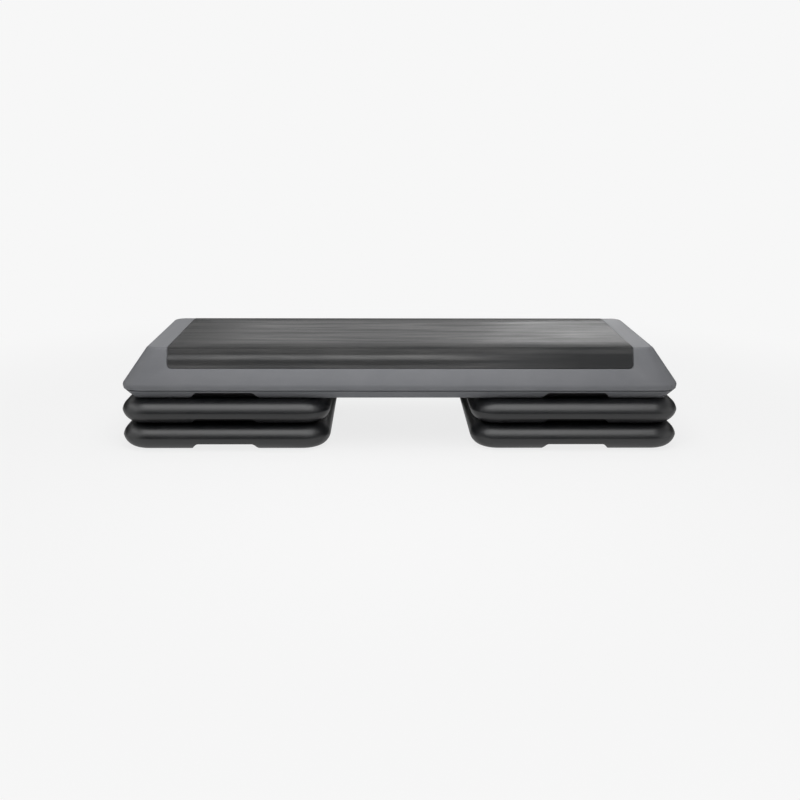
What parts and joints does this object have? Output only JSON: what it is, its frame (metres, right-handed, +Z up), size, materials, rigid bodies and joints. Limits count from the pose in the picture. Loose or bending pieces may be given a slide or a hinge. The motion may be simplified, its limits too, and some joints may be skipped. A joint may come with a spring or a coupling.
{
  "type": "aerobic step platform",
  "caption": "Low exercise step: a long grey hollow deck with a ribbed black non-slip mat wrapped over its edges, standing on stacked square black risers that set its height.",
  "frame": {"origin": "on the floor, under the middle of the deck", "axes": "+X along the deck, to the right as pictured, +Y across it to the back, +Z up"},
  "size_m": [1.102, 0.412, 0.204],
  "materials": {
    "deck_plastic": "satin moulded grey, fine texture",
    "riser_plastic": "satin moulded black, fine texture",
    "mat_rubber": "black, fine lengthwise ribs, slightly shiny on top",
    "foot_rubber": "matt dark rubber"
  },
  "bodies": {
    "base": {"riser_left_lower": "riser_plastic", "riser_right_lower": "riser_plastic", "riser_left_lower_foot_front_outer": "foot_rubber", "riser_left_lower_foot_front_inner": "foot_rubber", "riser_left_lower_foot_back_outer": "foot_rubber", "riser_left_lower_foot_back_inner": "foot_rubber", "riser_right_lower_foot_front_outer": "foot_rubber", "riser_right_lower_foot_front_inner": "foot_rubber", "riser_right_lower_foot_back_outer": "foot_rubber", "riser_right_lower_foot_back_inner": "foot_rubber"},
    "upper_left": {"riser_left_upper": "riser_plastic", "riser_left_upper_foot_front_outer": "foot_rubber", "riser_left_upper_foot_front_inner": "foot_rubber", "riser_left_upper_foot_back_outer": "foot_rubber", "riser_left_upper_foot_back_inner": "foot_rubber"},
    "upper_right": {"riser_right_upper": "riser_plastic", "riser_right_upper_foot_front_outer": "foot_rubber", "riser_right_upper_foot_front_inner": "foot_rubber", "riser_right_upper_foot_back_outer": "foot_rubber", "riser_right_upper_foot_back_inner": "foot_rubber"},
    "deck": {"deck_shell": "deck_plastic", "tread_mat": "mat_rubber", "deck_left_foot_front_outer": "foot_rubber", "deck_left_foot_front_inner": "foot_rubber", "deck_left_foot_back_outer": "foot_rubber", "deck_left_foot_back_inner": "foot_rubber", "deck_right_foot_front_outer": "foot_rubber", "deck_right_foot_front_inner": "foot_rubber", "deck_right_foot_back_outer": "foot_rubber", "deck_right_foot_back_inner": "foot_rubber"}
  },
  "joints": [
    {"name": "upper_left_lift", "type": "slide", "parent": "base", "child": "upper_left", "axis": [0, 0, 1], "range_m": [0, 0.1]},
    {"name": "upper_right_lift", "type": "slide", "parent": "base", "child": "upper_right", "axis": [0, 0, 1], "range_m": [0, 0.1]},
    {"name": "deck_lift", "type": "slide", "parent": "upper_left", "child": "deck", "axis": [0, 0, 1], "range_m": [0, 0.15]}
  ],
  "couplings": [
    {"joint": "upper_right_lift", "follows": "upper_left_lift", "ratio": 1}
  ]
}
